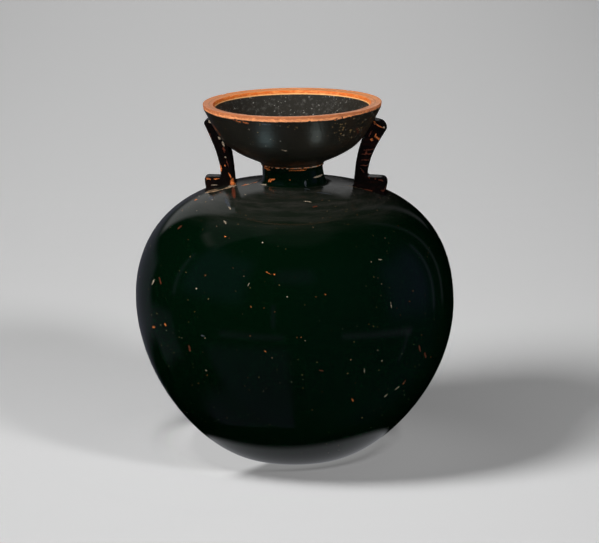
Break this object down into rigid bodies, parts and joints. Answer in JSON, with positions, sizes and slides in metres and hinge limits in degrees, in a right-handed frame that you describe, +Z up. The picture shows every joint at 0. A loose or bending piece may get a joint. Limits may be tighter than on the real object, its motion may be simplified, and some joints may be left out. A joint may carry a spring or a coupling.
{
  "type": "aryballos",
  "caption": "Round-bodied oil flask with a narrow neck, a wide bowl mouth and upright strap handles from shoulder to bowl.",
  "frame": {"origin": "middle of the resting base, on the plane it stands on", "axes": "+Z up through the mouth, X through both handles"},
  "size_m": [0.078, 0.078, 0.0883],
  "materials": {
    "clay": "black gloss over fired orange clay, rim left in the clay colour"
  },
  "bodies": {
    "root": {"aryballos": "clay"}
  },
  "joints": []
}
